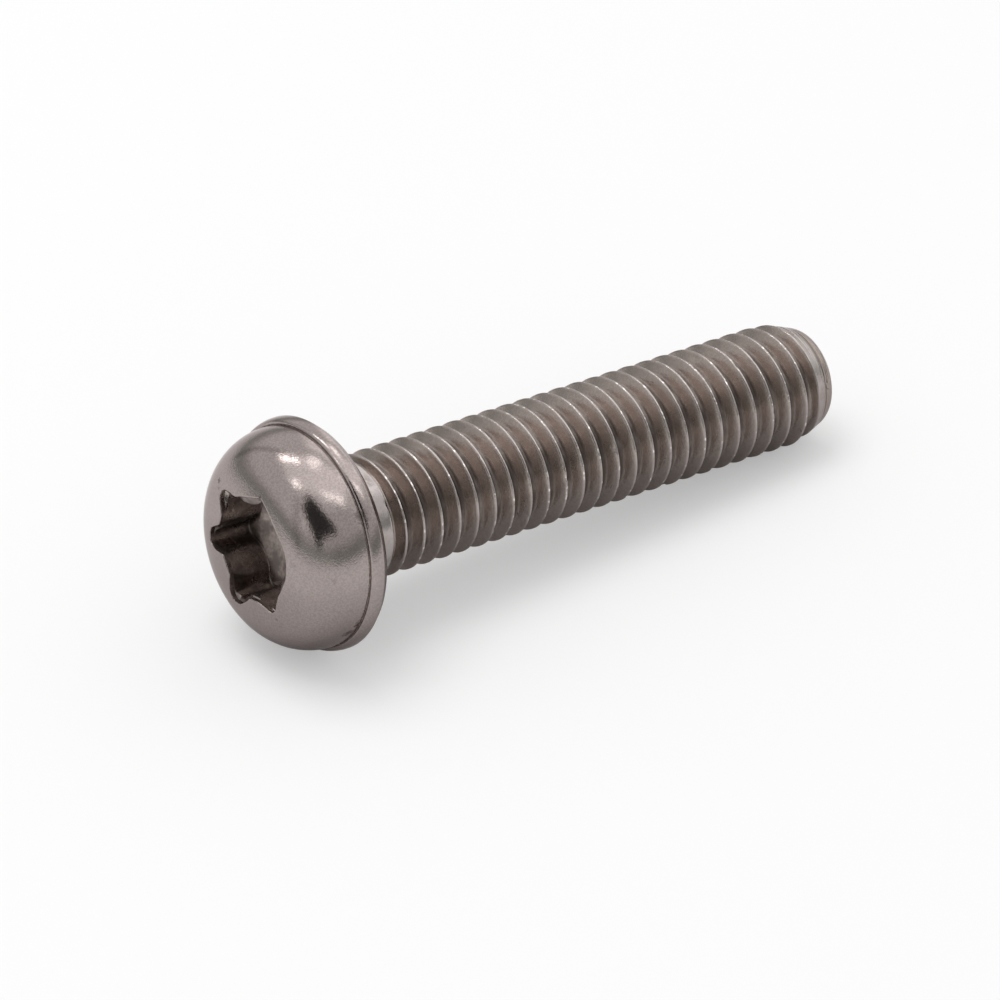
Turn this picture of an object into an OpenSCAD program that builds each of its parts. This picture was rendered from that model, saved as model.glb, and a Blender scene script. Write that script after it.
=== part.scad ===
// Pan head machine screw with a six-lobe socket, 4 mm thread, about 20 mm long.
// It lies on a flat surface: the rim of the head and the last full crest of the
// thread touch it, so the shank points along +X and dips a little toward its end.
// The origin is the middle of the bearing face under the head.

/* [View] */
// Which part to draw

/* [Head] */
// Diameter over the rim of the head
head_d = 7.5; // [7.3:0.02:8]
// Height of the head above the bearing face
head_h = 3.06; // [2.9:0.02:3.16]
// Radius of the broad arc over the top of the head
dome_r = 6.3; // [5.5:0.1:7]
// Radius of the arc that turns the top into the side
corner_r = 2; // [1.7:0.05:2.1]
// How far the side of the head stands inside the rim
rim_step = 0.19; // [0.15:0.01:0.3]
// Height of the rim from the bearing face to its front face
rim_h = 0.66; // [0.5:0.02:0.75]
// Width of the bevel behind the rim, measured outward
bevel_w = 0.2; // [0.15:0.05:0.4]
// Height of the bevel behind the rim
bevel_h = 0.24; // [0.1:0.02:0.3]
// Small edge break on the front of the rim
rim_edge = 0.06; // [0.03:0.01:0.1]

/* [Socket] */
// Distance across opposite lobe tips
socket_a = 4; // [3.8:0.05:4.2]
// Distance across opposite ridges
socket_b = 2.9; // [2.75:0.05:3]
// Radius of each lobe tip
lobe_r = 0.33; // [0.3:0.01:0.38]
// Depth of the straight walls below the top of the head
socket_depth = 1.8; // [1.5:0.05:1.9]
// Further depth of the cone at the bottom
socket_cone = 0.35; // [0.2:0.05:0.45]
// Diameter of the round lead-in that cuts back the ridges at the mouth
lead_d = 3.2; // [3.1:0.05:3.6]
// Depth of the lead-in's straight side
lead_step = 0.14; // [0.05:0.01:0.2]
// Slope of the lead-in's floor against the mouth, in degrees
lead_slope = 25; // [15:1:35]
// Turn of the socket about the axis of the screw, in degrees
socket_turn = 7; // [0:1:60]

/* [Thread] */
// Diameter over the crests
thread_d = 4; // [3.8:0.1:4.2]
// Distance from one crest to the next
pitch = 0.7; // [0.6:0.05:0.8]
// Length from the bearing face to the end of the shank
shank_l = 19.6; // [15:0.2:21]
// Diameter of the plain neck under the head
neck_d = 3.8; // [3.5:0.05:3.9]
// Length of plain neck before the thread starts
neck_l = 0.6; // [0.4:0.05:0.8]
// Radius of the fillet under the head
fillet_r = 0.2; // [0.1:0.05:0.3]
// Turns over which the crests rise from the neck to their full height
rise_turns = 0.8; // [0.6:0.1:2]
// Extra width of the first turn of the ridge, which the rolling left blunt
blunt_w = 0.08; // [0:0.02:0.1]
// Length of the tapered end, over which the crests fade
end_l = 1.25; // [1.1:0.05:1.6]
// Slope of the tapered end against the axis, in degrees
end_slope = 20; // [16:1:22]
// Size of the edge break at the very end
end_edge = 0.2; // [0.05:0.05:0.25]
// Flat steps in each turn of the thread
turn_steps = 36; // [24:4:36]

/* [Rest] */
// How far the screw has rolled about its own axis, in degrees
roll = 68; // [0:1:359]

/* [Hidden] */
// Steel of the whole screw
steel = [0.55, 0.52, 0.5];
// Facets of a full circle
fine = 96;
// Radius of the rim of the head
rim_r = head_d / 2;
// Radius of the side of the head at its foot
foot_r = rim_r - rim_step;
// Middle of the corner arc, out from the axis
corner_x = foot_r - corner_r;
// Middle of the broad top arc, below the bearing face
dome_z = dome_r - head_h;
// Middle of the corner arc along the axis
corner_z = dome_z - sqrt(pow(dome_r - corner_r, 2) - pow(corner_x, 2));
// Radius over the crests of the thread
crest_r = thread_d / 2;
// Depth of the thread from crest to root
thread_h = 0.6134 * pitch;
// Radius at the roots of the thread
root_r = crest_r - thread_h;
// Radius of the plain neck
neck_r = neck_d / 2;
// Width of the flat on each crest
crest_w = pitch / 8;
// Width of one flank along the axis, from its 60 degree form
flank_w = thread_h * tan(30);
// Width of the flat at each root
root_w = pitch - crest_w - 2 * flank_w;
// Half width of one ridge at its foot
ridge_w = (pitch - root_w) / 2;
// Fall of the tapered end for each unit of length
taper = tan(end_slope);
// Length of the last part of the tapered end, past the thread
tip_l = pitch + 0.1;
// Depth by which hidden ends of the thread lie inside the neck and the end
bury = 0.04;
// Middle of the first ridge along the axis, which lies inside the neck
wind_z = neck_l - pitch / 2 - root_w / 2 - 0.02;
// Number of steps along the whole thread
wind_n = floor((shank_l - 0.12 - ridge_w - wind_z) / pitch * turn_steps);
// Angle by which the lying screw dips toward its end
dip = atan((rim_r - crest_r) / (shank_l - end_l + bevel_h));

// Radius that the tapered end leaves to the screw at a place along the axis.
function taper_r(z) = crest_r - taper * (z - shank_l + end_l);

// Radius at the foot of a ridge, which follows the taper close to the end.
function foot_at(z) = min(root_r, taper_r(z) - bury);

// Radius that the crest has at a step before the taper takes its share:
// it rises from just under the surface of the neck.
function risen_r(j) =
    let (share = min(1, max(0, (j / turn_steps - 0.3) / rise_turns)))
    neck_r - bury + (crest_r - neck_r + bury) * share;

// Radius of one edge of the crest: side is -1 toward the head, 1 toward the end.
// The flank climbs from its foot at 30 degrees until it meets crest or taper.
function edge_r(j, side, z, foot) =
    let (lean = -side * taper * tan(30))
    let (met = (taper_r(z) + lean * foot) / (1 + lean))
    max(foot + 0.02, min(risen_r(j), met));

// Extra width of the ridge at a step, gone after two turns.
function blunt_at(j) = blunt_w * min(1, max(0, 2 - j / turn_steps));

// Four points of the ridge at a step: foot, both edges of the crest, foot.
function ridge_points(j) =
    let (turn = 360 * j / turn_steps)
    let (mid = wind_z + pitch * j / turn_steps)
    let (z1 = mid - ridge_w)
    let (z2 = mid + ridge_w + blunt_at(j))
    let (f1 = foot_at(z1))
    let (f2 = foot_at(z2))
    let (r1 = edge_r(j, -1, z1, f1))
    let (r2 = edge_r(j, 1, z2, f2))
    let (section = [[f1, z1], [r1, z1 + (r1 - f1) * tan(30)],
                    [r2, z2 - (r2 - f2) * tan(30)], [f2, z2]])
    [for (p = section) [p[0] * cos(turn), p[0] * sin(turn), p[1]]];

// Skin of the threaded shank: flank, crest, flank and root of every turn.
module thread() {
    n = wind_n;
    s = turn_steps;
    rings = [for (j = [0:n]) each ridge_points(j)];
    low = len(rings);
    high = low + 1;
    points = concat(rings, [[0, 0, wind_z], [0, 0, wind_z + pitch * n / s]]);
    side = [for (j = [0:n - 1]) for (m = [0:2])
            for (f = [[4 * j + m, 4 * j + m + 1, 4 * (j + 1) + m + 1],
                      [4 * j + m, 4 * (j + 1) + m + 1, 4 * (j + 1) + m]]) f];
    wrap = [for (j = [0:n - s - 1])
            for (f = [[4 * j + 3, 4 * (j + s), 4 * (j + s + 1)],
                      [4 * j + 3, 4 * (j + s + 1), 4 * (j + 1) + 3]]) f];
    start = concat([for (j = [0:s - 1]) [low, 4 * j, 4 * (j + 1)]],
                   [[low, 4 * s, 3], [low, 3, 2], [low, 2, 1], [low, 1, 0]]);
    stop = concat([for (j = [n - s:n - 1]) [high, 4 * (j + 1) + 3, 4 * j + 3]],
                  [[high, 4 * (n - s) + 3, 4 * n], [high, 4 * n, 4 * n + 1],
                   [high, 4 * n + 1, 4 * n + 2], [high, 4 * n + 2, 4 * n + 3]]);
    polyhedron(points = points, faces = concat(side, wrap, start, stop), convexity = 10);
}

// Half section of the dome, cut from the broad top arc and the corner arc.
module dome_section() {
    // far enough past the point where both arcs meet
    lean = 1.2 * corner_r / (dome_r - corner_r);
    intersection() {
        translate([0, dome_z]) circle(r = dome_r, $fn = fine);
        union() {
            polygon([[0, -rim_h / 2], [corner_x, -rim_h / 2], [corner_x, corner_z],
                     [corner_x + lean * corner_x, corner_z + lean * (corner_z - dome_z)],
                     [0, -head_h - 1]]);
            translate([0, corner_z]) square([foot_r, -rim_h / 2 - corner_z]);
            translate([corner_x, corner_z]) circle(r = corner_r, $fn = fine / 2);
        }
        translate([0, -head_h - 1]) square([head_d, head_h + 1]);
    }
}

// Half section of the thin rim with its front edge break and rear bevel.
module rim_section() {
    polygon([[0, -rim_h], [rim_r - rim_edge, -rim_h], [rim_r, -rim_h + rim_edge],
             [rim_r, -bevel_h], [rim_r - bevel_w, 0], [0, 0]]);
}

// Outline of the socket: six lobe arcs joined smoothly by six ridge arcs.
module socket_outline() {
    out = socket_a / 2 - lobe_r;
    in = socket_b / 2;
    ridge_r = (out * out + in * in - 2 * out * in * cos(30) - lobe_r * lobe_r)
            / (2 * (lobe_r + out * cos(30) - in));
    far = in + ridge_r;
    swing = atan2(far * sin(30), far * cos(30) - out);
    polygon([for (k = [0:5]) each concat(
        [for (t = [-swing:swing / 4:swing * 1.01])
            [out * cos(60 * k) + lobe_r * cos(60 * k + t),
             out * sin(60 * k) + lobe_r * sin(60 * k + t)]],
        [for (t = [1:3])
            let (a = 60 * k + 180 + swing - t * (swing - 30) / 2)
            [far * cos(60 * k + 30) + ridge_r * cos(a),
             far * sin(60 * k + 30) + ridge_r * sin(a)]])]);
}

// Hollow of the socket: lobed walls, round lead-in at the mouth, cone at the bottom.
module socket() {
    lead_r = lead_d / 2;
    ridge_r = socket_b / 2;
    lead_z = -head_h + pow(lead_r, 2) / (2 * dome_r) + lead_step;
    floor_z = lead_z + (lead_r - ridge_r) * tan(lead_slope);
    rotate([0, 0, socket_turn]) {
        translate([0, 0, -head_h - 0.5])
            linear_extrude(height = 0.5 + socket_depth) socket_outline();
        rotate_extrude($fn = fine)
            polygon([[0, -head_h - 0.5], [lead_r, -head_h - 0.5], [lead_r, lead_z],
                     [ridge_r, floor_z], [0, floor_z]]);
        translate([0, 0, -head_h + socket_depth - 0.01])
            cylinder(h = socket_cone + 0.01, r1 = ridge_r - 0.05, r2 = 0.2, $fn = fine);
    }
}

// Neck under the head with its fillet, ending in a slope like that of a flank.
module neck() {
    out = neck_r + fillet_r;
    core = root_r - bury;
    rotate_extrude($fn = fine)
        difference() {
            polygon([[0, -0.3], [out, -0.3], [out, fillet_r], [neck_r, fillet_r],
                     [neck_r, neck_l], [core, neck_l + (neck_r - core) * tan(30)],
                     [0, neck_l + (neck_r - core) * tan(30)]]);
            translate([out, fillet_r]) circle(r = fillet_r, $fn = fine / 3);
        }
}

// Last part of the tapered end with a small edge break.
module tip() {
    z1 = shank_l - tip_l;
    r1 = taper_r(z1) + bury / 2;
    r2 = taper_r(shank_l) + bury / 2;
    core = root_r - bury;
    rotate_extrude($fn = fine)
        polygon([[0, z1 - (r1 - core) * tan(30)], [core, z1 - (r1 - core) * tan(30)], [r1, z1],
                 [r2 + end_edge * taper, shank_l - end_edge], [r2 - end_edge, shank_l],
                 [0, shank_l]]);
}

// The whole screw upright on its own axis, head below and shank above.
module upright_screw() {
    difference() {
        union() {
            rotate_extrude($fn = fine) {
                dome_section();
                rim_section();
            }
            neck();
            thread();
            tip();
        }
        socket();
    }
}

module screw() {
    color(steel)
        rotate([0, 90 + dip, 0])
            rotate([0, 0, roll])
                upright_screw();
}

screw();
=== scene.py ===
import math

import bpy
import bmesh
from mathutils import Euler, Matrix, Vector


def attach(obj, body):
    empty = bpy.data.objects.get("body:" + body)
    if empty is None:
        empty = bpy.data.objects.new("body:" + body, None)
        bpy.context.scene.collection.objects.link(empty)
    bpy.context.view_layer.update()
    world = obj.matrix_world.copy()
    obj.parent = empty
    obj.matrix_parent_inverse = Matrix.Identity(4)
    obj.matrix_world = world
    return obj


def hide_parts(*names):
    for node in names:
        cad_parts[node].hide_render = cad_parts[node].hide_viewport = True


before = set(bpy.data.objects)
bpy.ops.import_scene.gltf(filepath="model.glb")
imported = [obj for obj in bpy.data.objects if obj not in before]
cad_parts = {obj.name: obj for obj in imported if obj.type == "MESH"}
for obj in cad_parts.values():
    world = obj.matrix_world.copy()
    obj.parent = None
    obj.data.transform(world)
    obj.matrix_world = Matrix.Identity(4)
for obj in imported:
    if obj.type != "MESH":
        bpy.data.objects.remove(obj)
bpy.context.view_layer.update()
print("frame loaded")

mm = 0.001

# sizes of the screw in mm, as in the CAD model but for the rim's rounding and the blunt first turn
screw = {
    "headHigh": 3.06,
    "domeRadius": 6.3,
    "cornerRadius": 2.0,
    "footRadius": 3.56,
    "rimRadius": 3.75,
    "rimHigh": 0.66,
    "rimEdge": 0.14,     # rounding of the rim's front, outward
    "rimRound": 0.34,    # and along the axis
    "bevelWide": 0.2,
    "bevelHigh": 0.24,
    "neckRadius": 1.9,
    "neckLong": 0.6,
    "filletRadius": 0.2,
    "crestRadius": 2.0,
    "pitch": 0.7,
    "shankLong": 19.6,
    "endLong": 1.25,
    "endSlope": 20.0,
    "endEdge": 0.2,
    "riseTurns": 0.8,
    "bluntWide": 0.24,   # what the first turns are wider by, toward the end
    "bluntBack": 0.55,   # and toward the head
    "bluntTurns": 1.9,
    "wear": 0.016,       # unevenness of the thread
    "ringDepth": 0.045,  # turned rings on the tapered end
    "roll": 68.0,
    "columns": 144,      # points round every ring, shared by head and shank
    "stripRows": 16,     # rows across one pitch
    "endRows": 64,
    "faceRows": 8,
    "seamHeight": 0.3,   # where the head's mesh meets the shank's
    "endSeam": 1.0,      # where the thread's strip gives way to the end's rows, before the end
}
threadDeep = 0.6134 * screw["pitch"]
screw["rootRadius"] = screw["crestRadius"] - threadDeep
screw["crestWide"] = screw["pitch"] / 8 * 0.7   # the rolled crest is a little rounded
rootWide = screw["pitch"] * 7 / 8 - 2 * threadDeep * math.tan(math.radians(30))
screw["windStart"] = screw["neckLong"] - screw["pitch"] / 2 - rootWide / 2 - 0.02
screw["dip"] = math.atan((screw["rimRadius"] - screw["crestRadius"])
                         / (screw["shankLong"] - screw["endLong"] + screw["bevelHigh"]))

socket = {
    "across": 4.0,
    "ridges": 2.9,
    "lobeRadius": 0.33,
    "deep": 1.8,
    "coneDeep": 0.35,
    "leadStep": 0.14,
    "leadSlope": 25.0,
    "turn": 7.0,
    "edge": 0.035,
    "coneRings": 8,
    "wallRings": 21,
    "domeRings": 46,               # from the socket's mouth out to the dome's foot
    "shift": (-0.13, 0.075),       # the punched hole stands a little off the axis
    # how far out the worn mouth reaches, as (direction in degrees, mm)
    "mouth": [(4.4, 1.99), (11.8, 2.01), (19, 1.90), (27, 1.61), (35, 1.40), (44, 1.44), (52, 1.53),
              (55, 1.82), (57.5, 1.99), (60.5, 2.11), (67.5, 2.07), (75, 1.93), (81, 1.81),
              (85.5, 1.76), (105, 1.83), (115.5, 1.95), (121, 2.06), (125.5, 2.01), (134, 1.94),
              (145.5, 1.87),
              (157, 1.85), (169, 1.89), (178, 1.93), (186, 1.94), (198, 1.92), (204, 1.92), (212, 1.87),
              (227, 1.84), (237, 1.93), (243, 2.03), (249, 2.07), (252.5, 2.01), (255.5, 1.80),
              (263.5, 1.60), (276, 1.51), (290, 1.80), (299, 2.05), (307, 2.15), (311.5, 2.08),
              (314, 1.86), (316.5, 1.5), (320, 1.26), (328, 1.16), (341, 1.10), (352, 1.12),
              (356, 1.3), (358.5, 1.62)],
}


def addObject(name, data):
    made = bpy.data.objects.new(name, data)
    bpy.context.scene.collection.objects.link(made)
    return made


class Nodes:
    # builds a node tree from short calls; every call gives back an output socket
    def __init__(self, tree):
        self.tree = tree

    def add(self, kind, output=0, inputs=None, **settings):
        node = self.tree.nodes.new(kind)
        for key, value in settings.items():
            setattr(node, key, value)
        for key, value in (inputs or {}).items():
            self.feed(node.inputs[key], value)
        return node.outputs[output]

    def feed(self, place, value):
        if isinstance(value, bpy.types.NodeSocket):
            self.tree.links.new(value, place)
        elif value is not None:
            place.default_value = value

    def math(self, operation, *values, clamp=False):
        kind = "ShaderNodeMath"
        return self.add(kind, 0, dict(enumerate(values)), operation=operation, use_clamp=clamp)

    def vector(self, operation, *values, output=0):
        return self.add("ShaderNodeVectorMath", output, dict(enumerate(values)), operation=operation)

    def ramp(self, value, low, high, outLow=0.0, outHigh=1.0):
        # a soft step from outLow at low to outHigh at high, which may also run downward
        if not isinstance(low, bpy.types.NodeSocket) and low > high:
            low, high, outLow, outHigh = high, low, outHigh, outLow
        return self.add("ShaderNodeMapRange", 0, {0: value, 1: low, 2: high, 3: outLow, 4: outHigh},
                        interpolation_type="SMOOTHSTEP")

    def product(self, first, *others):
        for other in others:
            first = self.math("MULTIPLY", first, other)
        return first

    def colour(self, share, first, second):
        node = self.tree.nodes.new("ShaderNodeMix")
        node.data_type = "RGBA"
        self.feed(node.inputs[0], share)
        for place, value in ((6, first), (7, second)):
            plain = not isinstance(value, bpy.types.NodeSocket)
            self.feed(node.inputs[place], (*value, 1) if plain else value)
        return node.outputs[2]

    def noise(self, place, scale, detail=2.0, rough=0.5, output=0):
        return self.add("ShaderNodeTexNoise", output,
                        {"Vector": place, "Scale": scale, "Detail": detail, "Roughness": rough})

    def attribute(self, name):
        return self.add("ShaderNodeAttribute", "Fac", attribute_name=name)

    def combine(self, x=None, y=None, z=None):
        return self.add("ShaderNodeCombineXYZ", 0, {0: x, 1: y, 2: z})

    def separate(self, place):
        return self.add("ShaderNodeSeparateXYZ", 0, {0: place}).node.outputs


# materials

finish = {
    "headColour": (0.383, 0.328, 0.312),
    "headRough": 0.12,
    "headBump": 0.0062,      # mm, as the other bumps
    "threadColour": (0.385, 0.328, 0.299),
    "threadRough": 0.26,
    "threadBump": 0.006,
    "crestColour": (0.40, 0.362, 0.35),
    "glintColour": (0.80, 0.75, 0.73),
    "socketColour": (0.88, 0.765, 0.715),
    "socketRough": 0.30,
    "bottomRough": 1.9,      # how many times rougher the socket's bottom is
    "socketBump": 0.03,
    "edgeTint": (0.8, 0.76, 0.76, 1),
    # colour of dirt, and of the painted shade in the socket, in the groove and under the head
    "dirtAndShade": (0.05, 0.037, 0.03),
    # small dents and dark marks on the head: middle in mm, radius in mm, share
    "marks": [((-2.435, -0.395, 2.432), 0.11, 0.8), ((-2.79, -1.60, -1.32), 0.07, 0.7),
              ((-2.70, -1.69, -1.56), 0.05, 0.6), ((-2.40, 1.81, 1.87), 0.08, 0.7),
              ((-2.51, 1.72, 1.66), 0.07, 0.7), ((-0.90, -3.237, -1.40), 0.17, 0.8),
              ((-1.13, -3.03, -1.75), 0.20, 0.7), ((-1.76, -3.248, 0.54), 0.16, 0.15),
              ((-2.55, -2.22, 0.87), 0.14, 0.18), ((-0.45, -2.842, 2.178), 0.28, 0.5)],
}


def newMaterial(name):
    material = bpy.data.materials.new(name)
    material.use_nodes = True
    material.node_tree.nodes.clear()
    n = Nodes(material.node_tree)
    shader = material.node_tree.nodes.new("ShaderNodeBsdfPrincipled")
    shader.inputs["Metallic"].default_value = 1.0
    out = material.node_tree.nodes.new("ShaderNodeOutputMaterial")
    material.node_tree.links.new(shader.outputs[0], out.inputs[0])
    place = n.add("ShaderNodeTexCoord", "Object")
    return material, n, shader, place


def bumpFrom(n, shader, height, distance):
    bump = n.add("ShaderNodeBump", 0, {"Height": height, "Distance": distance * mm, "Strength": 1.0})
    n.feed(shader.inputs["Normal"], bump)


def darker(colour, share):
    return [c * share for c in colour]


def polishedSteel():
    # bright worn plating of the dome and the rim
    material, n, shader, place = newMaterial("polishedSteel")
    cloud = n.noise(place, 420, 3.0, 0.55)
    grain = n.noise(place, 15000, 2.0, 0.7)
    speck = n.noise(place, 6500, 3.0, 0.7)
    colour = finish["headColour"]
    base = n.colour(n.ramp(cloud, 0.35, 0.7), colour, darker(colour, 0.93))
    base = n.colour(n.ramp(grain, 0.35, 0.65, 0.0, 0.42), base, darker(colour, 0.55))
    # specks of dirt, here and there
    marksAndShade = n.math("MULTIPLY", n.ramp(speck, 0.66, 0.74, 0.0, 0.5), n.ramp(cloud, 0.5, 0.62))
    # the dark marks, with ragged edges
    rag = n.noise(place, 7500, 3.0, 0.75, output=1)
    rag = n.vector("SCALE", n.vector("SUBTRACT", rag, (0.5, 0.5, 0.5)))
    rag.node.inputs["Scale"].default_value = 0.5 * mm
    ragged = n.vector("ADD", place, rag)
    for middle, radius, share in finish["marks"]:
        away = n.vector("DISTANCE", ragged, [c * mm for c in middle], output=1)
        marksAndShade = n.math("MAXIMUM", marksAndShade, n.ramp(away, radius * mm, radius * 0.35 * mm, 0.0, share))
    # dirt and painted shade in the groove between dome and rim
    shadeAndDirtHere = n.attribute("shadeAndDirtShare")
    marksAndShade = n.math("MAXIMUM", marksAndShade, n.math("MULTIPLY", shadeAndDirtHere, n.ramp(speck, 0.35, 0.6, 0.55, 1.0)))
    base = n.colour(marksAndShade, base, finish["dirtAndShade"])
    n.feed(shader.inputs["Base Color"], base)
    rough = n.ramp(cloud, 0.3, 0.75, finish["headRough"] * 0.8, finish["headRough"] * 1.4)
    n.feed(shader.inputs["Roughness"], n.math("ADD", rough, n.math("MULTIPLY", marksAndShade, 0.25)))
    shader.inputs["Specular Tint"].default_value = finish["edgeTint"]
    # fine unevenness that makes the highlights sparkle
    height = n.math("ADD", n.math("MULTIPLY", speck, 0.5), n.math("MULTIPLY", grain, 0.6))
    height = n.math("SUBTRACT", height, n.math("MULTIPLY", marksAndShade, 1.2))
    bumpFrom(n, shader, height, finish["headBump"])
    return material


def threadSteel():
    # duller rolled flanks with bright worn crests
    material, n, shader, place = newMaterial("threadSteel")
    crest = n.attribute("crestShare")
    shadeAndDirtHere = n.attribute("shadeAndDirtShare")
    cloud = n.noise(place, 650, 3.0, 0.6)
    grain = n.noise(place, 13000, 2.0, 0.7)
    speck = n.noise(place, 4200, 3.0, 0.7)
    colour = finish["threadColour"]
    base = n.colour(n.ramp(cloud, 0.4, 0.65), colour, darker(colour, 0.88))
    base = n.colour(n.ramp(grain, 0.35, 0.65, 0.0, 0.35), base, darker(colour, 0.6))
    # distance along the axis from the bearing face
    axis = (math.cos(screw["dip"]), 0.0, -math.sin(screw["dip"]))
    along = n.vector("DOT_PRODUCT", place, axis, output=1)
    # darker in the roots, in patches, but not on the neck
    deep = n.product(n.ramp(crest, 0.28, 0.02), n.ramp(cloud, 0.35, 0.6, 0.55, 0.9),
                     n.ramp(along, 0.7 * mm, 1.2 * mm))
    pits = n.math("MULTIPLY", n.ramp(speck, 0.64, 0.72, 0.0, 0.6), n.ramp(cloud, 0.48, 0.6))
    # turned lines on the tapered end, with dirt in them
    lines = n.noise(n.combine(along), 11000, 1.0)
    shankEnd = screw["shankLong"]
    onEnd = n.ramp(along, (shankEnd - 0.75) * mm, (shankEnd - 0.55) * mm)
    lined = n.math("MULTIPLY", n.ramp(lines, 0.54, 0.62, 0.06, 0.55), onEnd)
    # painted shade on the bearing face and the fillet under the head joins the darker roots and the
    # pits
    marksAndShade = n.math("MAXIMUM", n.math("MAXIMUM", deep, pits), n.math("MULTIPLY", shadeAndDirtHere, 0.7))
    base = n.colour(n.math("MAXIMUM", marksAndShade, lined), base, finish["dirtAndShade"])
    # worn crests, with bright glints between the first turn and the end
    worn = n.product(n.ramp(crest, 0.955, 0.995), n.ramp(speck, 0.62, 0.5, 0.25, 1.0),
                     n.math("SUBTRACT", 1.0, onEnd))
    base = n.colour(worn, base, finish["crestColour"])
    glint = n.product(worn, n.ramp(n.noise(place, 5200, 1.0), 0.58, 0.68),
                      n.ramp(along, (shankEnd - 1.2) * mm, (shankEnd - 1.4) * mm),
                      n.ramp(along, 1.4 * mm, 1.6 * mm))
    base = n.colour(glint, base, finish["glintColour"])
    n.feed(shader.inputs["Base Color"], base)
    rough = n.ramp(crest, 0.93, 1.0, finish["threadRough"], 0.17)
    n.feed(shader.inputs["Roughness"], n.math("ADD", rough, n.math("MULTIPLY", marksAndShade, 0.2)))
    shader.inputs["Specular Tint"].default_value = finish["edgeTint"]
    height = n.math("ADD", n.math("MULTIPLY", speck, 0.6), n.math("MULTIPLY", grain, 0.5))
    bumpFrom(n, shader, height, finish["threadBump"])
    return material


def socketSteel():
    # punched walls, with painted shade that deepens toward the bottom and into the corners
    material, n, shader, place = newMaterial("socketSteel")
    shadeAndDirtHere = n.attribute("shadeAndDirtShare")
    cloud = n.noise(place, 1700, 3.0, 0.65)
    grain = n.noise(place, 9000, 2.0, 0.7)
    colour = finish["socketColour"]
    base = n.colour(n.ramp(cloud, 0.38, 0.62), colour, darker(colour, 0.5))
    base = n.colour(n.ramp(grain, 0.35, 0.65, 0.0, 0.4), base, darker(colour, 0.5))
    # painted shade of the socket, from the share stored on the head's rings
    base = n.colour(n.math("MULTIPLY", shadeAndDirtHere, 0.75), base, finish["dirtAndShade"])
    n.feed(shader.inputs["Base Color"], base)
    # the bottom is duller than the walls
    rough = n.ramp(cloud, 0.3, 0.7, finish["socketRough"] * 0.8, finish["socketRough"] * 1.3)
    dull = n.ramp(shadeAndDirtHere, 0.0, 0.7, finish["bottomRough"], 1.0)
    n.feed(shader.inputs["Roughness"], n.math("MULTIPLY", rough, dull))
    height = n.math("ADD", n.math("MULTIPLY", cloud, 0.8), n.math("MULTIPLY", grain, 0.3))
    bumpFrom(n, shader, height, finish["socketBump"])
    return material


headSteel = polishedSteel()
flankSteel = threadSteel()
punchedSteel = socketSteel()
print("materials made")


# threaded shank, in the screw's own frame: axis +Z, bearing face at zero

def floatInput(tree, name):
    tree.interface.new_socket(name=name, in_out="INPUT", socket_type="NodeSocketFloat")


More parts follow.
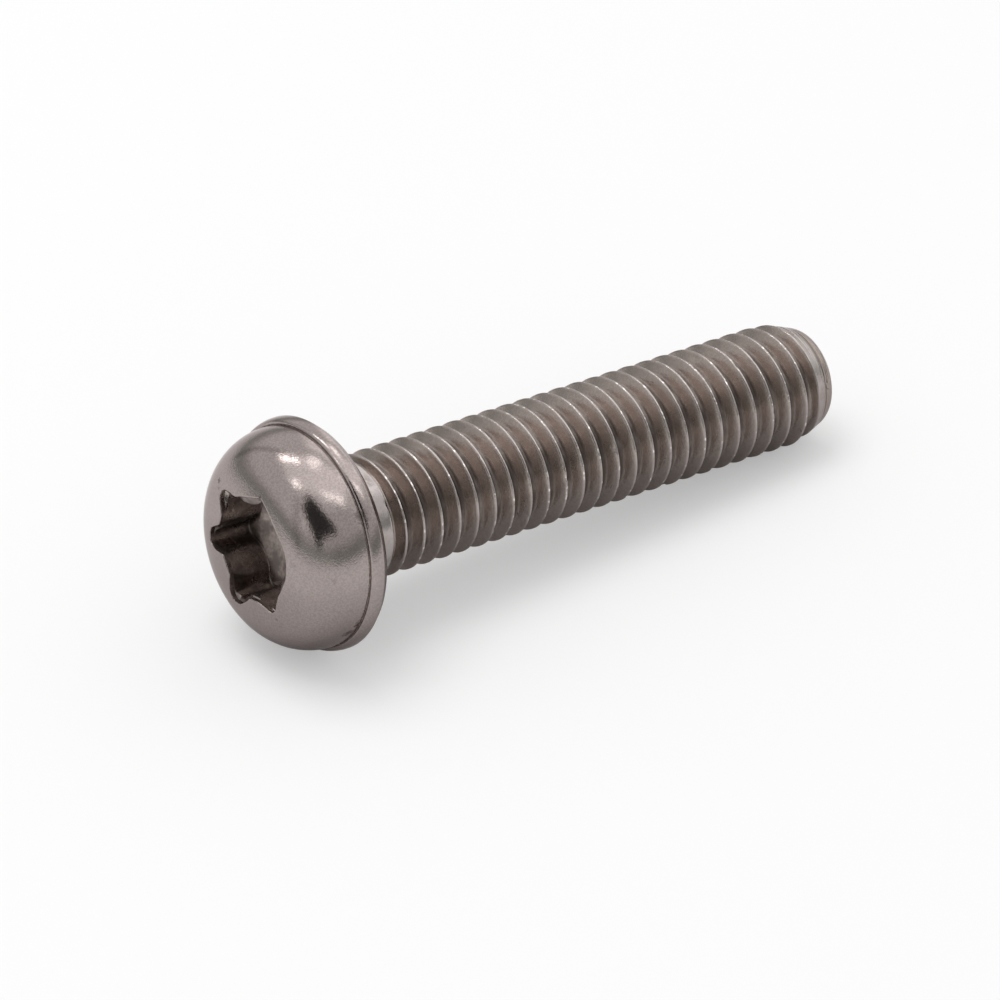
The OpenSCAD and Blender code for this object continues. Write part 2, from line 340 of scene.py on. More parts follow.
def radiusGroup():
    # radius of the shank's surface at a height and an angle, the angle counted in turns
    tree = bpy.data.node_groups.new("shankRadius", "GeometryNodeTree")
    names = ["Turn", "Height", "Pitch", "Wind Start", "Crest Radius", "Root Radius", "Crest Width",
             "Neck Radius", "Neck Length", "Rise Turns", "Blunt Width", "Blunt Back", "Blunt Turns",
             "Shank Length", "End Length", "End Slope", "End Edge"]
    for name in names:
        floatInput(tree, name)
    for name in ("Radius", "Crest Share"):
        tree.interface.new_socket(name=name, in_out="OUTPUT", socket_type="NodeSocketFloat")
    n = Nodes(tree)
    given = tree.nodes.new("NodeGroupInput").outputs
    steep = math.tan(math.radians(60))
    # this point lies between two turns of the ridge, the lower one and the upper one
    climb = n.math("DIVIDE", n.math("SUBTRACT", given["Height"], given["Wind Start"]), given["Pitch"])
    behind = n.math("SUBTRACT", climb, given["Turn"])
    lower = n.math("FLOOR", behind)
    off = n.math("SUBTRACT", behind, lower)
    turns = n.math("ADD", given["Turn"], lower)

    def ridgeTop(turns, away):
        away = n.math("SUBTRACT", away, n.math("MULTIPLY", given["Crest Width"], 0.5))
        flank = n.math("SUBTRACT", given["Crest Radius"], n.math("MULTIPLY", away, steep))
        # the crests rise out of the neck
        share = n.math("DIVIDE", n.math("SUBTRACT", turns, 0.3), given["Rise Turns"], clamp=True)
        start = n.math("SUBTRACT", given["Neck Radius"], 0.04 * mm)
        rise = n.math("MULTIPLY", share, n.math("SUBTRACT", given["Crest Radius"], start))
        risen = n.math("ADD", start, rise)
        return n.math("SMOOTH_MIN", flank, risen, 0.03 * mm), risen

    def widened(width, turns):
        # what the blunt first turns add to the ridge's width
        left = n.math("MULTIPLY", n.math("SUBTRACT", given["Blunt Turns"], turns), 2.0, clamp=True)
        return n.math("MULTIPLY", given[width], left)

    ahead = n.math("ADD", turns, 1.0)
    fromLower = n.math("MULTIPLY", off, given["Pitch"])
    fromUpper = n.math("MULTIPLY", n.math("SUBTRACT", 1.0, off), given["Pitch"])
    lowerTop, lowest = ridgeTop(turns, n.math("SUBTRACT", fromLower, widened("Blunt Width", turns)))
    upperTop, _ = ridgeTop(ahead, n.math("SUBTRACT", fromUpper, widened("Blunt Back", ahead)))
    ridge = n.math("MAXIMUM", lowerTop, upperTop)
    # near the head the ridge rises no faster than a gentle cone
    clear = n.math("SUBTRACT", given["Height"], n.math("MULTIPLY", given["Neck Length"], 0.5))
    clear = n.math("MAXIMUM", n.math("SUBTRACT", clear, 0.03 * mm), 0.0)
    cone = n.math("ADD", given["Neck Radius"], n.math("MULTIPLY", clear, 0.5))
    ridge = n.math("MINIMUM", ridge, cone)
    body = n.math("SMOOTH_MAX", ridge, given["Root Radius"], 0.12 * mm)
    past = n.math("MAXIMUM", n.math("SUBTRACT", given["Height"], given["Neck Length"]), 0.0)
    neck = n.math("SUBTRACT", given["Neck Radius"], n.math("MULTIPLY", past, steep))
    body = n.math("MAXIMUM", body, neck)
    # the tapered end takes its share, and fills the last groove
    fall = n.math("TANGENT", given["End Slope"])
    endStart = n.math("SUBTRACT", given["Shank Length"], given["End Length"])
    taper = n.math("SUBTRACT", given["Crest Radius"],
                   n.math("MULTIPLY", fall, n.math("SUBTRACT", given["Height"], endStart)))
    body = n.math("SMOOTH_MIN", body, taper, 0.04 * mm)
    fillFrom = n.math("SUBTRACT", n.math("SUBTRACT", given["Shank Length"], given["Pitch"]), 0.1 * mm)
    short = n.math("MAXIMUM", n.math("SUBTRACT", fillFrom, given["Height"]), 0.0)
    fill = n.math("SUBTRACT", taper, n.math("MULTIPLY", short, steep))
    body = n.math("MAXIMUM", body, fill)
    last = n.math("MULTIPLY", fall, given["End Length"])
    endRadius = n.math("SUBTRACT", n.math("SUBTRACT", given["Crest Radius"], last), given["End Edge"])
    left = n.math("SUBTRACT", given["Shank Length"], given["Height"])
    edge = n.math("ADD", endRadius, n.math("MULTIPLY", left, 1.36))
    body = n.math("SMOOTH_MIN", body, edge, 0.08 * mm)
    # how close this point is to the highest place that ridge or taper allows here
    top = n.math("MINIMUM", lowest, taper)
    below = n.math("DIVIDE", n.math("SUBTRACT", top, body),
                   n.math("SUBTRACT", given["Crest Radius"], given["Root Radius"]))
    crestShare = n.math("SUBTRACT", 1.0, below, clamp=True)
    out = tree.nodes.new("NodeGroupOutput")
    tree.links.new(body, out.inputs["Radius"])
    tree.links.new(crestShare, out.inputs["Crest Share"])
    return tree, names


def shankTree():
    # two grids are wrapped round the axis: a long strip that follows the thread, and the end
    inner, names = radiusGroup()
    tree = bpy.data.node_groups.new("threadedShank", "GeometryNodeTree")
    tree.interface.new_socket(name="Geometry", in_out="OUTPUT", socket_type="NodeSocketGeometry")
    for name in names[2:]:
        floatInput(tree, name)
    for name in ("Columns", "Strip Steps", "Strip Rows", "End Rows", "Face Rows"):
        tree.interface.new_socket(name=name, in_out="INPUT", socket_type="NodeSocketInt")
    for name in ("Seam Height", "End Seam", "Wear", "Ring Depth"):
        floatInput(tree, name)
    tree.interface.new_socket(name="Material", in_out="INPUT", socket_type="NodeSocketMaterial")
    n = Nodes(tree)
    given = tree.nodes.new("NodeGroupInput").outputs
    place = n.add("GeometryNodeInputPosition")

    def gridOf(stepsX, stepsY):
        node = tree.nodes.new("GeometryNodeMeshGrid")
        n.feed(node.inputs["Size X"], stepsX)
        n.feed(node.inputs["Size Y"], stepsY)
        n.feed(node.inputs["Vertices X"], n.math("ADD", stepsX, 1.0))
        n.feed(node.inputs["Vertices Y"], n.math("ADD", stepsY, 1.0))
        split = n.separate(place)
        stepX = n.math("ROUND", n.math("ADD", split["X"], n.math("MULTIPLY", stepsX, 0.5)))
        stepY = n.math("ROUND", n.math("ADD", split["Y"], n.math("MULTIPLY", stepsY, 0.5)))
        return node.outputs["Mesh"], stepX, stepY

    def turnOf(step):
        return n.math("DIVIDE", n.math("FLOORED_MODULO", step, given["Columns"]), given["Columns"])

    def radiusAt(turn, height):
        node = tree.nodes.new("GeometryNodeGroup")
        node.node_tree = inner
        n.feed(node.inputs["Turn"], turn)
        n.feed(node.inputs["Height"], height)
        for name in names[2:]:
            n.feed(node.inputs[name], given[name])
        return node.outputs["Radius"], node.outputs["Crest Share"]

    def wrapped(mesh, turn, height, radius, shrink, crestShare):
        angle = n.math("MULTIPLY", turn, 2 * math.pi)
        cosine, sine = n.math("COSINE", angle), n.math("SINE", angle)
        plain = n.combine(n.math("MULTIPLY", cosine, radius), n.math("MULTIPLY", sine, radius), height)
        # small unevenness of a rolled thread, strongest on the crests
        wave = n.math("SUBTRACT", n.noise(plain, 900.0, 2.0), 0.5)
        nick = n.ramp(n.noise(plain, 2600.0, 1.0), 0.66, 0.78, 0.0, -2.2)
        clear = n.ramp(height, n.math("ADD", given["Seam Height"], 0.05 * mm),
                       n.math("ADD", given["Seam Height"], 0.6 * mm))
        change = n.math("MULTIPLY", n.math("ADD", wave, nick), n.math("MULTIPLY", given["Wear"], clear))
        change = n.math("MULTIPLY", change, n.ramp(crestShare, 0.5, 1.0, 0.25, 1.0))
        # turned rings on the tapered end
        rings = n.math("SUBTRACT", n.noise(n.combine(z=height), 9000.0, 1.0), 0.5)
        ringed = n.math("MULTIPLY", given["End Length"], 0.65)
        endStart = n.math("SUBTRACT", given["Shank Length"], ringed)
        ringStart = n.ramp(height, endStart, n.math("ADD", endStart, 0.3 * mm))
        rings = n.math("MULTIPLY", rings, n.math("MULTIPLY", ringStart, given["Ring Depth"]))
        change = n.math("ADD", change, rings)
        worn = n.math("MULTIPLY", n.math("ADD", radius, change), shrink)
        turned = n.combine(n.math("MULTIPLY", cosine, worn), n.math("MULTIPLY", sine, worn), height)
        store = tree.nodes.new("GeometryNodeStoreNamedAttribute")
        store.data_type = "FLOAT"
        store.domain = "POINT"
        n.feed(store.inputs["Geometry"], mesh)
        n.feed(store.inputs["Name"], "crestShare")
        n.feed(store.inputs["Value"], crestShare)
        node = tree.nodes.new("GeometryNodeSetPosition")
        n.feed(node.inputs["Geometry"], store.outputs["Geometry"])
        n.feed(node.inputs["Position"], turned)
        return node.outputs["Geometry"]

    # the strip: along x it winds round, along y it crosses one pitch, crowded at the crest
    mesh, step, row = gridOf(given["Strip Steps"], given["Strip Rows"])
    turn = turnOf(step)
    across = n.math("DIVIDE", n.math("MULTIPLY", row, 2.0), given["Strip Rows"])
    across = n.math("SUBTRACT", across, 1.0)
    size = n.math("ABSOLUTE", across)
    cubed = n.math("POWER", size, 3.0)
    crowd = n.math("ADD", n.math("MULTIPLY", size, 0.2), n.math("MULTIPLY", cubed, 0.3))
    crowd = n.math("MULTIPLY", crowd, n.math("SIGN", across))
    along = n.math("ADD", n.math("DIVIDE", step, given["Columns"]), n.math("SUBTRACT", crowd, 1.0))
    height = n.math("ADD", given["Wind Start"], n.math("MULTIPLY", given["Pitch"], along))
    height = n.math("MAXIMUM", n.math("MINIMUM", height, given["End Seam"]), given["Seam Height"])
    radius, crestShare = radiusAt(turn, height)
    strip = wrapped(mesh, turn, height, radius, 1.0, crestShare)

    # the end: rows down the taper, then rows across the end face to its middle
    rows = n.math("ADD", given["End Rows"], given["Face Rows"])
    mesh, step, row = gridOf(given["Columns"], rows)
    turn = turnOf(step)
    down = n.math("DIVIDE", row, given["End Rows"], clamp=True)
    reach = n.math("SUBTRACT", given["Shank Length"], given["End Seam"])
    height = n.math("ADD", given["End Seam"], n.math("MULTIPLY", down, reach))
    inward = n.math("SUBTRACT", row, given["End Rows"])
    inward = n.math("DIVIDE", inward, given["Face Rows"], clamp=True)
    radius, crestShare = radiusAt(turn, height)
    end = wrapped(mesh, turn, height, radius, n.math("SUBTRACT", 1.0, inward), crestShare)

    join = tree.nodes.new("GeometryNodeJoinGeometry")
    tree.links.new(end, join.inputs[0])
    tree.links.new(strip, join.inputs[0])
    merge = n.add("GeometryNodeMergeByDistance", 0, {"Geometry": join.outputs[0],
                                                     "Distance": 0.0002 * mm})
    smooth = n.add("GeometryNodeSetShadeSmooth", 0, {"Geometry": merge})
    real = n.add("GeometryNodeRealizeInstances", 0, {"Geometry": smooth})
    last = n.add("GeometryNodeSetMaterial", 0, {"Geometry": real, "Material": given["Material"]})
    out = tree.nodes.new("NodeGroupOutput")
    tree.links.new(last, out.inputs[0])
    return tree


def makeShank():
    endSeam = screw["shankLong"] - screw["endSeam"]
    steps = math.ceil(((endSeam - screw["windStart"]) / screw["pitch"] + 1.6) * screw["columns"])
    lengths = {"Pitch": "pitch", "Wind Start": "windStart", "Crest Radius": "crestRadius",
               "Root Radius": "rootRadius", "Crest Width": "crestWide", "Neck Radius": "neckRadius",
               "Neck Length": "neckLong", "Blunt Width": "bluntWide", "Blunt Back": "bluntBack",
               "Shank Length": "shankLong", "End Length": "endLong", "End Edge": "endEdge",
               "Seam Height": "seamHeight", "Wear": "wear", "Ring Depth": "ringDepth"}
    counts = {"Rise Turns": "riseTurns", "Blunt Turns": "bluntTurns", "Columns": "columns",
              "Strip Rows": "stripRows", "End Rows": "endRows", "Face Rows": "faceRows"}
    values = {name: screw[key] * mm for name, key in lengths.items()}
    values.update((name, screw[key]) for name, key in counts.items())
    values.update({"End Slope": math.radians(screw["endSlope"]), "End Seam": endSeam * mm,
                   "Strip Steps": steps, "Material": flankSteel})
    tree = shankTree()
    holder = addObject("shankHolder", bpy.data.meshes.new("shankHolder"))
    modifier = holder.modifiers.new("threadedShank", "NODES")
    modifier.node_group = tree
    for item in tree.interface.items_tree:
        if item.item_type == "SOCKET" and item.in_out == "INPUT":
            modifier[item.identifier] = values[item.name]
    graph = bpy.context.evaluated_depsgraph_get()
    mesh = bpy.data.meshes.new_from_object(holder.evaluated_get(graph), depsgraph=graph)
    holder.modifiers.remove(modifier)
    bpy.data.objects.remove(holder)
    return mesh


shankMesh = makeShank()
print("shank:", len(shankMesh.vertices), "points", len(shankMesh.polygons), "faces")


# head, as rings from the middle of the socket out to the neck

def socketOutline(count):
    # points at even steps along the lobed outline, as (radius, angle)
    out = socket["across"] / 2 - socket["lobeRadius"]
    inner = socket["ridges"] / 2
    lobe = socket["lobeRadius"]
    cos30 = math.cos(math.radians(30))
    ridge = ((out * out + inner * inner - 2 * out * inner * cos30 - lobe * lobe)
             / (2 * (lobe + out * cos30 - inner)))
    far = inner + ridge
    swing = math.atan2(far / 2, far * cos30 - out)
    fine = []
    for k in range(6):
        base = math.radians(60 * k)
        for t in range(40):
            a = base - swing + 2 * swing * t / 40
            fine.append((out * math.cos(base) + lobe * math.cos(a),
                         out * math.sin(base) + lobe * math.sin(a)))
        mid = base + math.radians(30)
        turnBy = swing - math.radians(30)
        for t in range(40):
            a = mid + math.pi + turnBy - 2 * turnBy * t / 40
            fine.append((far * math.cos(mid) + ridge * math.cos(a),
                         far * math.sin(mid) + ridge * math.sin(a)))
    lengths = [0.0]
    for k, point in enumerate(fine):
        nxt = fine[(k + 1) % len(fine)]
        lengths.append(lengths[-1] + math.dist(point, nxt))
    # begin at the tip of the first lobe, which is the middle of the first arc
    first = lengths[20]
    result = []
    for i in range(count):
        want = (first + lengths[-1] * i / count) % lengths[-1]
        spot = max(k for k in range(len(fine)) if lengths[k] <= want)
        share = (want - lengths[spot]) / (lengths[spot + 1] - lengths[spot])
        a = fine[spot]
        b = fine[(spot + 1) % len(fine)]
        x = a[0] + (b[0] - a[0]) * share
        y = a[1] + (b[1] - a[1]) * share
        result.append((math.hypot(x, y), math.atan2(y, x)))
    return result


def domeHeight(r):
    # height of the dome's surface at a radius, from its broad arc and its corner arc
    middle = screw["domeRadius"] - screw["headHigh"]
    cornerX = screw["footRadius"] - screw["cornerRadius"]
    cornerZ = middle - math.sqrt((screw["domeRadius"] - screw["cornerRadius"]) ** 2 - cornerX ** 2)
    meet = cornerX * screw["domeRadius"] / (screw["domeRadius"] - screw["cornerRadius"])
    if r <= meet:
        return middle - math.sqrt(screw["domeRadius"] ** 2 - r * r)
    return cornerZ - math.sqrt(max(0.0, screw["cornerRadius"] ** 2 - (r - cornerX) ** 2))


def arc(middle, radius, fromAngle, toAngle, count):
    # points of an arc in the (radius, height) plane, without its first point
    points = []
    for k in range(1, count + 1):
        a = math.radians(fromAngle + (toAngle - fromAngle) * k / count)
        points.append((middle[0] + radius * math.cos(a), middle[1] + radius * math.sin(a)))
    return points


def headProfile():
    # from the foot of the dome round the rim to the seam on the neck, as (radius, height, share of dirt
    # and painted shade)
    rim, foot = screw["rimRadius"], screw["footRadius"]
    top, bevel = -screw["rimHigh"], -screw["bevelHigh"]
    inside = rim - screw["bevelWide"]
    fillet, neck = screw["filletRadius"], screw["neckRadius"]
    soft, tall = screw["rimEdge"], screw["rimRound"]
    # a dark line in the groove at the dome's foot: dirt and painted shade
    points = [(foot, top - 0.03, 0.0), (foot + 0.002, top - 0.010, 0.5), (foot + 0.012, top, 0.8),
              (foot + 0.03, top, 0.1), (rim - soft, top, 0.0)]
    points += [(r, top + (h - top) * tall / soft, 0.0)
               for r, h in arc((rim - soft, top + soft), soft, -90, 0, 8)]
    points += [(rim, top + tall + 0.02, 0.0),
               (rim, bevel - 0.03, 0.0), (rim - 0.004, bevel - 0.008, 0.0),
               (rim - 0.02, bevel + 0.02, 0.0), (rim - 0.11, bevel / 2, 0.1),
               (inside + 0.02, -0.02, 0.1), (inside - 0.02, -0.001, 0.1), (inside - 0.1, 0.0, 0.1)]
    # the bearing face, then the fillet, with painted shade deepest where they meet under the head
    start, end = inside - 0.1, neck + fillet + 0.02
    for k in range(1, 8):
        points.append((start + (end - start) * k / 7, 0.0, 0.1 + 0.3 * k / 7))
    points += [(neck + fillet - fillet * math.sin(math.radians(a)),
                fillet - fillet * math.cos(math.radians(a)), 0.4 - a / 250)
               for a in (12, 30, 50, 70, 88)]
    points.append((neck, screw["seamHeight"], 0.0))
    return points


def makeHead():
    count = screw["columns"]
    outline = socketOutline(count)
    turn = round(socket["turn"] / 360 * count)
    even = [2 * math.pi * (i + turn) / count for i in range(count)]
    lobed = [a + math.radians(socket["turn"]) for r, a in outline]
    wall = [r for r, a in outline]
    floor = -screw["headHigh"] + socket["deep"]
    slope = math.tan(math.radians(socket["leadSlope"]))
    edge = socket["edge"]
    # how far out the mouth reaches in the direction of each column
    table = [socket["mouth"][-1], *socket["mouth"], socket["mouth"][0]]
    table[0] = (table[0][0] - 360, table[0][1])
    table[-1] = (table[-1][0] + 360, table[-1][1])
    brim = []
    for a in lobed:
        at = math.degrees(a) % 360
        k = max(j for j in range(len(table) - 1) if table[j][0] <= at)
        share = (at - table[k][0]) / (table[k + 1][0] - table[k][0])
        brim.append(table[k][1] + (table[k + 1][1] - table[k][1]) * share - edge)
    top = [min(wall[i], brim[i]) for i in range(count)]
    rings = []   # each ring: points as (x, y, z), a material index and a share of dirt and painted shade

    def ring(radii, heights, look, dirtAndShade=0.0):
        points = []
        for i in range(count):
            points.append((radii[i] * math.cos(lobed[i]) + socket["shift"][0],
                           radii[i] * math.sin(lobed[i]) + socket["shift"][1], heights[i]))
        rings.append((points, look, dirtAndShade))

    # cone at the bottom, out to the walls
    coneFoot = socket["ridges"] / 2 - 0.05
    for k in range(socket["coneRings"] + 1):
        share = k / socket["coneRings"]
        r = 0.2 + (coneFoot - 0.2) * share
        ring([r] * count, [floor + socket["coneDeep"] * (1 - share)] * count, 1)
    # the corners at the bottom of the walls take the most painted shade
    ring([w - 0.04 for w in wall], [floor + 0.002] * count, 1, 1.0)
    ring([w - 0.012 for w in wall], [floor - 0.004] * count, 1, 1.0)
    ring([w - 0.001 for w in wall], [floor - 0.025] * count, 1, 0.8)
    # walls up to the lead-in, a round step that cuts back the ridges; the painted shade lessens upward
    mouth = [r + edge for r in brim]
    mouthPoints = [(mouth[i] * math.cos(lobed[i]) + socket["shift"][0],
                    mouth[i] * math.sin(lobed[i]) + socket["shift"][1]) for i in range(count)]
    topHeight = [domeHeight(math.hypot(*point)) for point in mouthPoints]
    ledge = [h + edge + socket["leadStep"] for h in topHeight]
    back = [brim[i] - top[i] for i in range(count)]
    wallTop = [ledge[i] + back[i] * slope for i in range(count)]
    for k in range(1, socket["wallRings"] + 1):
        share = k / socket["wallRings"]
        ring([wall[i] + (top[i] - wall[i]) * share ** 2 for i in range(count)],
             [floor - 0.025 + (wallTop[i] - floor + 0.025) * share for i in range(count)],
             1, 0.8 + 0.2 * (1 - share))
    # the step's floor and side, then the rounded edge of the mouth, over which the painted shade fades
    # out
    for share in (0.06, 0.5, 0.92, 1.0):
        ring([top[i] + back[i] * share for i in range(count)],
             [wallTop[i] - back[i] * slope * share - 0.01 * share for i in range(count)], 1, 0.75)
    low = [h - 0.01 for h in ledge]
    for share in (0.1, 0.5, 1.0):
        ring(brim, [low[i] + (topHeight[i] + edge - low[i]) * share for i in range(count)], 1, 0.7)
    for a in (25, 50, 75):
        outward, upward = 1 - math.cos(math.radians(a)), 1 - math.sin(math.radians(a))
        ring([mouth[i] - edge + edge * outward for i in range(count)],
             [topHeight[i] + edge * 0.9 * upward for i in range(count)], 0, 0.6 - a / 150)
    # dome, from the mouth out to its foot
    foot = screw["footRadius"]
    mouthAngle = [math.atan2(y, x) for x, y in mouthPoints]
    for k in range(socket["domeRings"] + 1):
        share = (k / socket["domeRings"]) ** 1.05
        points = []
        for i in range(count):
            near = math.hypot(*mouthPoints[i])
            r = near + (foot - near) * math.sin(share * math.pi / 2)
            swing = (even[i] - mouthAngle[i] + math.pi) % (2 * math.pi) - math.pi
            a = mouthAngle[i] + swing * min(1.0, share * 1.3)
            points.append((r * math.cos(a), r * math.sin(a), domeHeight(r)))
        rings.append((points, 0, 0.0))
    for r, h, dirtAndShade in headProfile():
        look = 0 if h < -0.001 else 2
        rings.append(([(r * math.cos(a), r * math.sin(a), h) for a in even], look, dirtAndShade))

    vertices = [(socket["shift"][0] * mm, socket["shift"][1] * mm, (floor + socket["coneDeep"]) * mm)]
    sharesOfShadeAndDirt = [0.0]
    for points, look, dirtAndShade in rings:
        for x, y, z in points:
            vertices.append((x * mm, y * mm, z * mm))
            sharesOfShadeAndDirt.append(dirtAndShade)
    faces, looks = [], []
    for i in range(count):
        faces.append((0, 1 + (i + 1) % count, 1 + i))
        looks.append(1)
    for k in range(len(rings) - 1):
        for i in range(count):
            a = 1 + k * count + i
            b = 1 + k * count + (i + 1) % count
            faces.append((a, b, b + count, a + count))
            looks.append(rings[k][1])
    mesh = bpy.data.meshes.new("screwHead")
    mesh.from_pydata(vertices, [], faces)
    mesh.polygons.foreach_set("material_index", looks)
    mesh.attributes.new("shadeAndDirtShare", "FLOAT", "POINT").data.foreach_set("value", sharesOfShadeAndDirt)
    return mesh


headMesh = makeHead()
print("head:", len(headMesh.vertices), "points", len(headMesh.polygons), "faces")


# one closed mesh of head and shank, laid down as the screw rests

def joinScrew():
    joined = bmesh.new()
    joined.from_mesh(headMesh)
    seamFaces = len(joined.faces)
    joined.from_mesh(shankMesh)
    joined.faces.ensure_lookup_table()
    for face in joined.faces[seamFaces:]:
        face.material_index = 2
    for face in joined.faces:
        face.smooth = True
    bmesh.ops.remove_doubles(joined, verts=joined.verts, dist=0.0003 * mm)
    bmesh.ops.dissolve_degenerate(joined, edges=joined.edges, dist=0.0001 * mm)
    loose = [e for e in joined.edges if len(e.link_faces) != 2]
    print("open or shared edges:", len(loose))
    bmesh.ops.recalc_face_normals(joined, faces=joined.faces)
    lay = (Matrix.Rotation(math.radians(90) + screw["dip"], 4, "Y")
           @ Matrix.Rotation(math.radians(screw["roll"]), 4, "Z"))
    bmesh.ops.transform(joined, matrix=lay, verts=joined.verts)
    bmesh.ops.triangulate(joined, faces=[f for f in joined.faces if len(f.verts) > 4])
    mesh = bpy.data.meshes.new("screwBody")
    joined.to_mesh(mesh)
    joined.free()
    for material in (headSteel, punchedSteel, flankSteel):
        mesh.materials.append(material)
    return addObject("screwBody", mesh)


screwBody = joinScrew()
bpy.data.meshes.remove(headMesh)
bpy.data.meshes.remove(shankMesh)
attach(screwBody, "root")
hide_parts("screw")
print("screw joined:", sum(len(p.vertices) - 2 for p in screwBody.data.polygons), "triangles")


# stage, light and camera

stage = {
    "floorColour": (0.90, 0.90, 0.90),
    "floorHalf": 0.6,
    "floorGlow": 0.34,       # share of plain white in the floor, which softens the shadow
    "floorShade": 0.22,      # how much darker the steel sees the floor close to the screw
    "farShade": 0.24,        # and far from it
    "worldStrength": 0.78,
    "lampPlace": (-0.05, 0.08, 0.34),
    "lampAim": (0.004, 0, 0),
    "lampSize": (0.26, 0.2),
    "lampPower": 0.45,
    "tentRadius": 0.42,
    "tentTurn": 40.0,        # the tent's walls stand square to the camera
    "wallTone": 0.92,
    "seamTone": 0.47,        # tone low on the walls
    "leftDim": 0.05,
    "seamDim": 0.5,          # dark seam in the corners of the left wall
    "panelLift": (0.40, 0.56),
    "rightLift": 0.6,
    "frontDim": 0.22,
    # bright streaks on the ceiling: start, end, half width, strength
    "streaks": [((-0.66, 0.41), (-0.30, 0.30), 0.10, 5.6), ((-0.56, -0.25), (-0.44, -0.27), 0.10, 3.4),
                ((0.20, -0.38), (0.80, -0.24), 0.12, 1.3),
                ((0.14, 0.46), (0.04, 0.30), 0.20, 1.5)],
    # the dark opening: its corners as (turn, climb) in degrees
    "window": [(-157, 62), (-166, 42), (-140, 11), (-127, 24), (-98, 29)],
    "windowTone": 0.05,
}

view = {
    "place": (-0.12399316, -0.17044349, 0.13880974),
    "down": 33.16257,        # degrees below level
    "turn": -37.56697,
    "lens": 293.654,
}


def makeFloor():
    low = min(v.co.z for v in screwBody.data.vertices)
    half = stage["floorHalf"]
    mesh = bpy.data.meshes.new("floor")
    mesh.from_pydata([(-half, -half, low), (half, -half, low), (half, half, low), (-half, half, low)],
                     [], [(0, 1, 2, 3)])
    floor = addObject("floor", mesh)
    material = bpy.data.materials.new("floorPaper")
    material.use_nodes = True
    shader = material.node_tree.nodes["Principled BSDF"]
    shader.inputs["Base Color"].default_value = (*stage["floorColour"], 1)
    shader.inputs["Roughness"].default_value = 0.9
    shader.inputs["Specular IOR Level"].default_value = 0.1
    tree = material.node_tree
    n = Nodes(tree)
    path = tree.nodes.new("ShaderNodeLightPath").outputs
    seen = n.math("MAXIMUM", path["Is Camera Ray"], path["Is Transmission Ray"])
    # distance from the line that the screw lies over
    place = n.add("ShaderNodeTexCoord", "Object")
    beside = n.math("MAXIMUM", n.separate(place)["X"], 0.0)
    under = n.combine(n.math("MINIMUM", beside, screw["shankLong"] * mm), z=low)
    away = n.vector("DISTANCE", place, under, output=1)
    near = n.math("ADD", n.ramp(away, 14 * mm, 2 * mm, 0.0, stage["floorShade"]),
                  n.ramp(away, 8 * mm, 150 * mm, 0.0, stage["farShade"]))
    share = n.math("ADD", n.math("MULTIPLY", seen, stage["floorGlow"]),
                   n.math("MULTIPLY", path["Is Glossy Ray"], near))
    white = n.add("ShaderNodeEmission", 0, {"Strength": seen})
    mixed = n.add("ShaderNodeMixShader", 0, {0: share, 1: shader.outputs[0], 2: white})
    tree.links.new(mixed, tree.nodes["Material Output"].inputs[0])
    mesh.materials.append(material)


def onlyReflected(thing):
    for kind in ("camera", "diffuse", "shadow", "transmission", "volume_scatter"):
        setattr(thing, "visible_" + kind, False)


def glowing(name):
    # an emission material, given back with its nodes and its emission node
    material = bpy.data.materials.new(name)
    material.use_nodes = True
    tree = material.node_tree
    tree.nodes.clear()
    glow = tree.nodes.new("ShaderNodeEmission")
    out = tree.nodes.new("ShaderNodeOutputMaterial")
    tree.links.new(glow.outputs[0], out.inputs[0])
    return material, Nodes(tree), glow


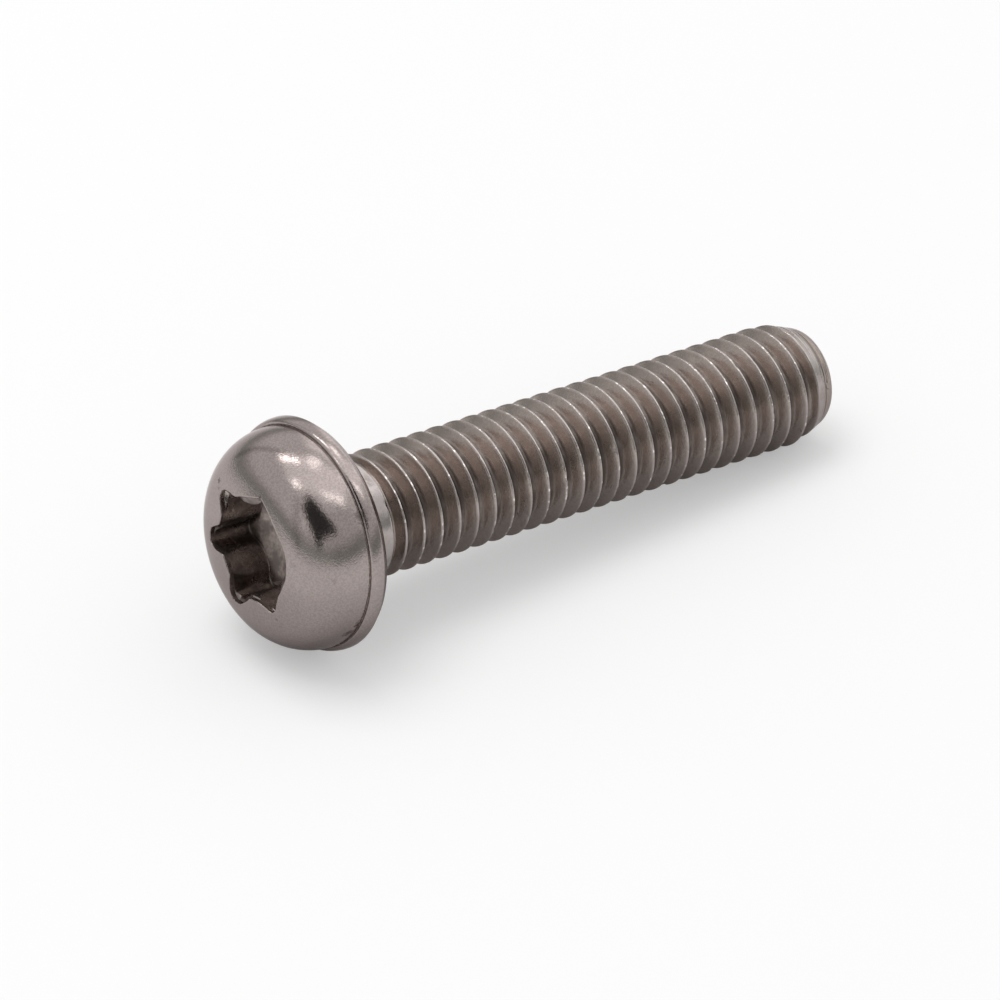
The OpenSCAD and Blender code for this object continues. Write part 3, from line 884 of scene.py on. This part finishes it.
def makeTent():
    # a box-shaped light tent that only the steel's reflections see: walls that darken toward
    # the floor, dark seams beside the left wall, and a lit panel overhead with bright streaks
    built = bmesh.new()
    bmesh.ops.create_uvsphere(built, u_segments=96, v_segments=48, radius=stage["tentRadius"])
    mesh = bpy.data.meshes.new("softTent")
    built.to_mesh(mesh)
    built.free()
    tent = addObject("softTent", mesh)
    material, n, glow = glowing("tentCloth")
    place = n.add("ShaderNodeTexCoord", "Object")
    turned = n.add("ShaderNodeVectorRotate", 0, {"Vector": n.vector("NORMALIZE", place),
                                                 "Angle": math.radians(stage["tentTurn"])},
                   rotation_type="Z_AXIS")
    split = n.separate(turned)
    right, far, climb = split["X"], split["Y"], split["Z"]
    flat = n.math("SQRT", n.math("ADD", n.math("MULTIPLY", right, right), n.math("MULTIPLY", far, far)))
    corner = n.math("SUBTRACT", n.math("ABSOLUTE", right), n.math("ABSOLUTE", far))
    corner = n.math("DIVIDE", corner, flat)

    def toward(angle):
        # how squarely a direction points to an angle round the tent
        way = (math.cos(math.radians(angle)), math.sin(math.radians(angle)), 0.0)
        return n.math("DIVIDE", n.vector("DOT_PRODUCT", turned, way, output=1), flat)

    def dimmed(tone, share, amount):
        return n.math("MULTIPLY", tone, n.math("SUBTRACT", 1.0, n.math("MULTIPLY", share, amount)))

    onLeft = n.ramp(n.math("DIVIDE", right, flat), -0.45, -0.6)
    low = n.ramp(climb, 0.82, 0.72)
    wall = n.ramp(climb, 0.16, 0.42, stage["seamTone"], stage["wallTone"])
    foot = n.ramp(climb, 0.0, 0.06, stage["wallTone"], stage["seamTone"])
    tone = n.math("MAXIMUM", wall, foot)
    tone = dimmed(tone, n.product(onLeft, n.ramp(corner, -0.02, 0.06), low), stage["leftDim"])
    # the right side is brighter, down to close above the floor
    lift = n.product(n.ramp(toward(55), 0.76, 0.9), n.ramp(climb, 0.04, 0.16), low)
    tone = n.math("ADD", tone, n.math("MULTIPLY", lift, stage["rightLift"]))
    # the front wall, beside the window, is a little darker
    tone = dimmed(tone, n.product(n.ramp(toward(-45), 0.75, 0.95), low), stage["frontDim"])
    seam = n.product(n.ramp(n.math("ABSOLUTE", corner), 0.13, 0.0), onLeft, low)
    tone = dimmed(tone, seam, stage["seamDim"])
    # place on a ceiling one unit up
    high = n.math("MAXIMUM", climb, 0.05)
    over = n.combine(n.math("DIVIDE", right, high), n.math("DIVIDE", far, high))
    spread = n.separate(over)
    panel = n.product(n.ramp(spread["X"], -0.74, -0.62), n.ramp(spread["X"], 1.1, 0.8),
                      n.ramp(spread["Y"], -0.46, -0.36), n.ramp(spread["Y"], 0.52, 0.40))
    panel = n.product(panel, n.ramp(spread["X"], -0.6, 0.5, *stage["panelLift"]))
    tone = n.math("ADD", tone, panel)
    sparkle = n.ramp(n.noise(over, 55, 2.0, 0.7), 0.4, 0.62, 0.3, 1.8)
    for start, end, wide, strength in stage["streaks"]:
        along = [end[0] - start[0], end[1] - start[1], 0.0]
        reach = along[0] ** 2 + along[1] ** 2
        fromStart = n.vector("SUBTRACT", over, (*start, 0.0))
        share = n.math("DIVIDE", n.vector("DOT_PRODUCT", fromStart, along, output=1), reach, clamp=True)
        nearest = n.vector("MULTIPLY_ADD", n.combine(share, share, share), along, (*start, 0.0))
        away = n.vector("DISTANCE", over, nearest, output=1)
        tone = n.math("ADD", tone, n.product(n.ramp(away, wide, 0.0), strength, sparkle))
    n.feed(glow.inputs["Color"], n.colour(n.ramp(climb, 0.3, 0.1), (1.0, 1.0, 1.0), (0.95, 1.0, 0.96)))
    n.feed(glow.inputs["Strength"], tone)
    mesh.materials.append(material)
    onlyReflected(tent)


def makeWindow():
    # the dark opening that the camera looks through, seen only in reflections
    reach = stage["tentRadius"] * 0.8
    spots = []
    for turn, climb in stage["window"]:
        turn, climb = math.radians(turn), math.radians(climb)
        flat = reach * math.cos(climb)
        spots.append((flat * math.cos(turn), flat * math.sin(turn), reach * math.sin(climb)))
    mesh = bpy.data.meshes.new("tentWindow")
    mesh.from_pydata(spots, [], [tuple(range(len(spots)))])
    window = addObject("tentWindow", mesh)
    material, _, glow = glowing("windowDark")
    glow.inputs["Strength"].default_value = stage["windowTone"]
    mesh.materials.append(material)
    onlyReflected(window)


def makeWorld():
    world = bpy.data.worlds.new("studio")
    world.use_nodes = True
    bpy.context.scene.world = world
    tree = world.node_tree
    tree.nodes.clear()
    n = Nodes(tree)
    path = tree.nodes.new("ShaderNodeLightPath").outputs
    seen = n.math("MAXIMUM", path["Is Camera Ray"], path["Is Transmission Ray"])
    seen = n.math("MAXIMUM", seen, path["Is Glossy Ray"])
    soft, white = (n.add("ShaderNodeBackground", 0, {"Color": (1, 1, 1, 1), "Strength": strength})
                   for strength in (stage["worldStrength"], 1.0))
    mixed = n.add("ShaderNodeMixShader", 0, {0: seen, 1: soft, 2: white})
    out = tree.nodes.new("ShaderNodeOutputWorld")
    tree.links.new(mixed, out.inputs[0])


def makeLamp():
    data = bpy.data.lights.new("overheadLamp", "AREA")
    data.shape = "RECTANGLE"
    data.size, data.size_y = stage["lampSize"]
    data.energy = stage["lampPower"]
    lamp = addObject("overheadLamp", data)
    lamp.location = stage["lampPlace"]
    aim = Vector(stage["lampAim"]) - Vector(stage["lampPlace"])
    lamp.rotation_euler = aim.to_track_quat("-Z", "Y").to_euler()
    lamp.visible_glossy = False   # the tent's panel stands for it in the steel


def makeCamera():
    data = bpy.data.cameras.new("camera")
    data.sensor_width = 36.0
    data.lens = view["lens"]
    data.clip_start = 0.01
    data.clip_end = 5.0
    camera = addObject("camera", data)
    camera.location = view["place"]
    camera.rotation_euler = Euler((math.radians(90 - view["down"]), 0, math.radians(view["turn"])))
    bpy.context.scene.camera = camera


makeFloor()
makeTent()
makeWindow()
makeWorld()
makeLamp()
makeCamera()
bpy.context.scene.view_settings.view_transform = "Standard"
print("stage set")
